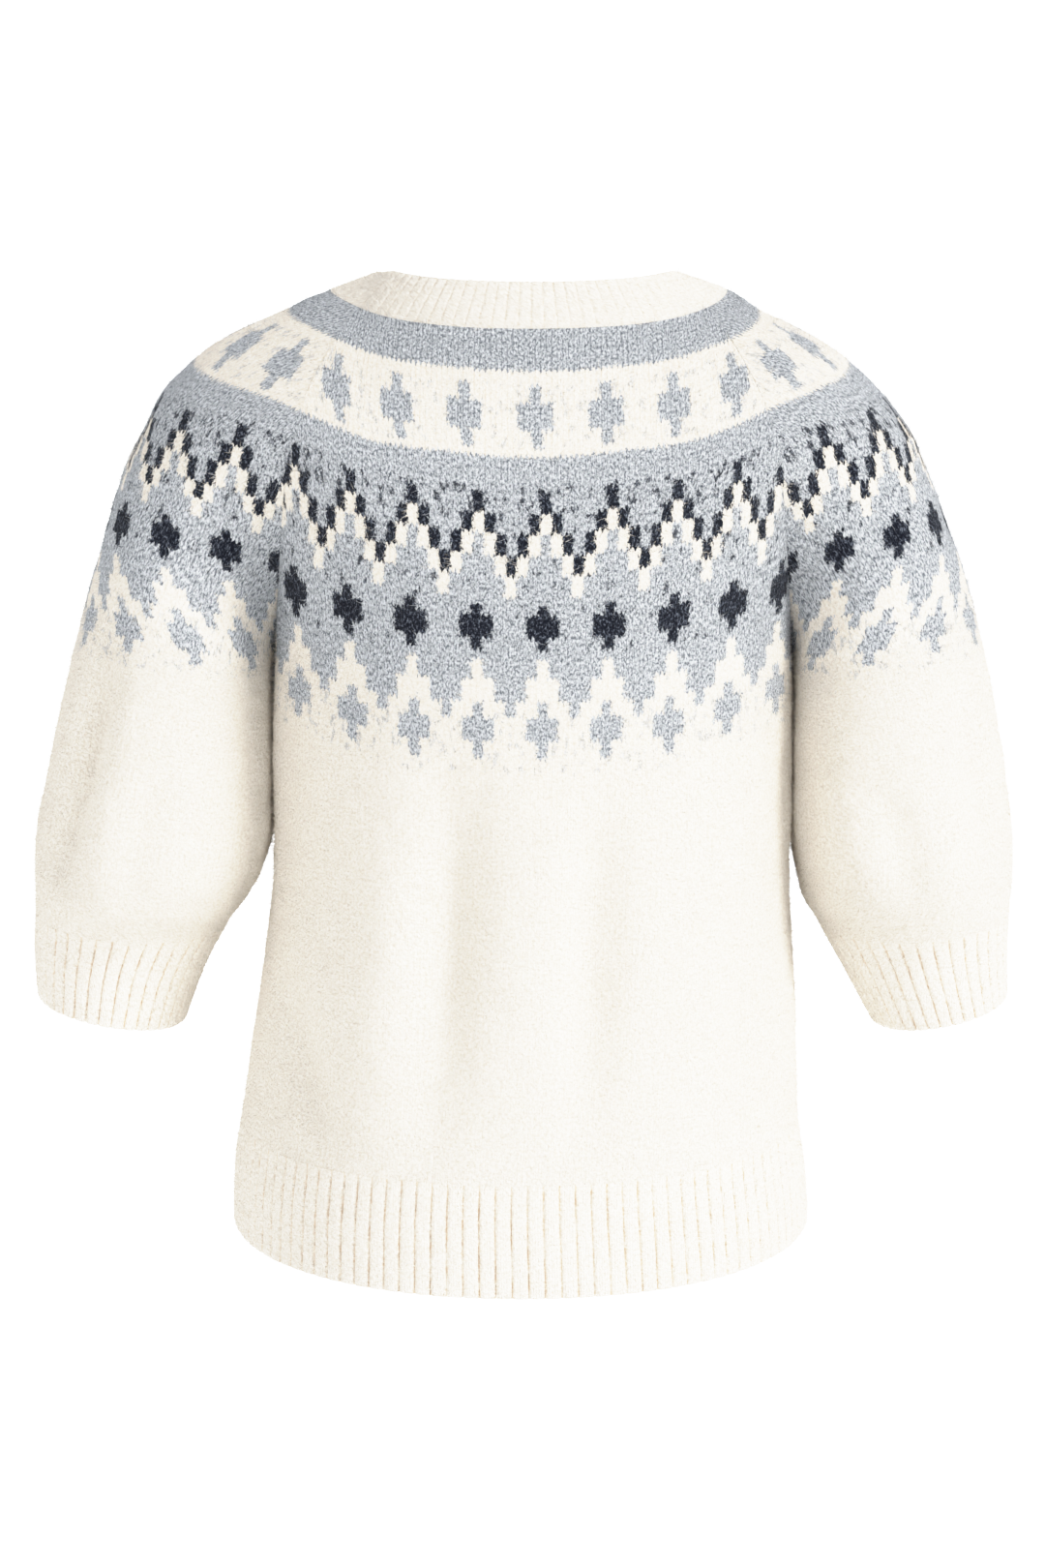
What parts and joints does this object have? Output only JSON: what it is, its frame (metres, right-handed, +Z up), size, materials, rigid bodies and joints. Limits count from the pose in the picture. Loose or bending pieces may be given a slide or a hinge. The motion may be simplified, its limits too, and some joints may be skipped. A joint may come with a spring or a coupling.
{
  "type": "nordic yoke sweater",
  "caption": "Short-sleeved round-yoke sweater in brushed wool, with balloon sleeves and ribbed neck, hem and cuffs, filled out as worn.",
  "frame": {"origin": "on the garment's middle plane, in the neck opening, level with the shoulder ends of the neckband seam", "axes": "+Z up the wearer's body, +Y towards the wearer's front, so the back faces -Y; -X is the wearer's left"},
  "size_m": [0.5746, 0.2766, 0.566],
  "materials": {
    "patterned_knit": "brushed wool and mohair blend, cream, with a yoke knitted in heather grey, charcoal and cream",
    "rib_knit": "cream rib in the same brushed yarn"
  },
  "bodies": {
    "root": {"back_panel": "patterned_knit", "front_panel": "patterned_knit", "sleeve_left": "patterned_knit", "sleeve_right": "patterned_knit", "neckband": "rib_knit", "hem_rib_back": "rib_knit", "hem_rib_front": "rib_knit", "cuff_left": "rib_knit", "cuff_right": "rib_knit"}
  },
  "joints": []
}
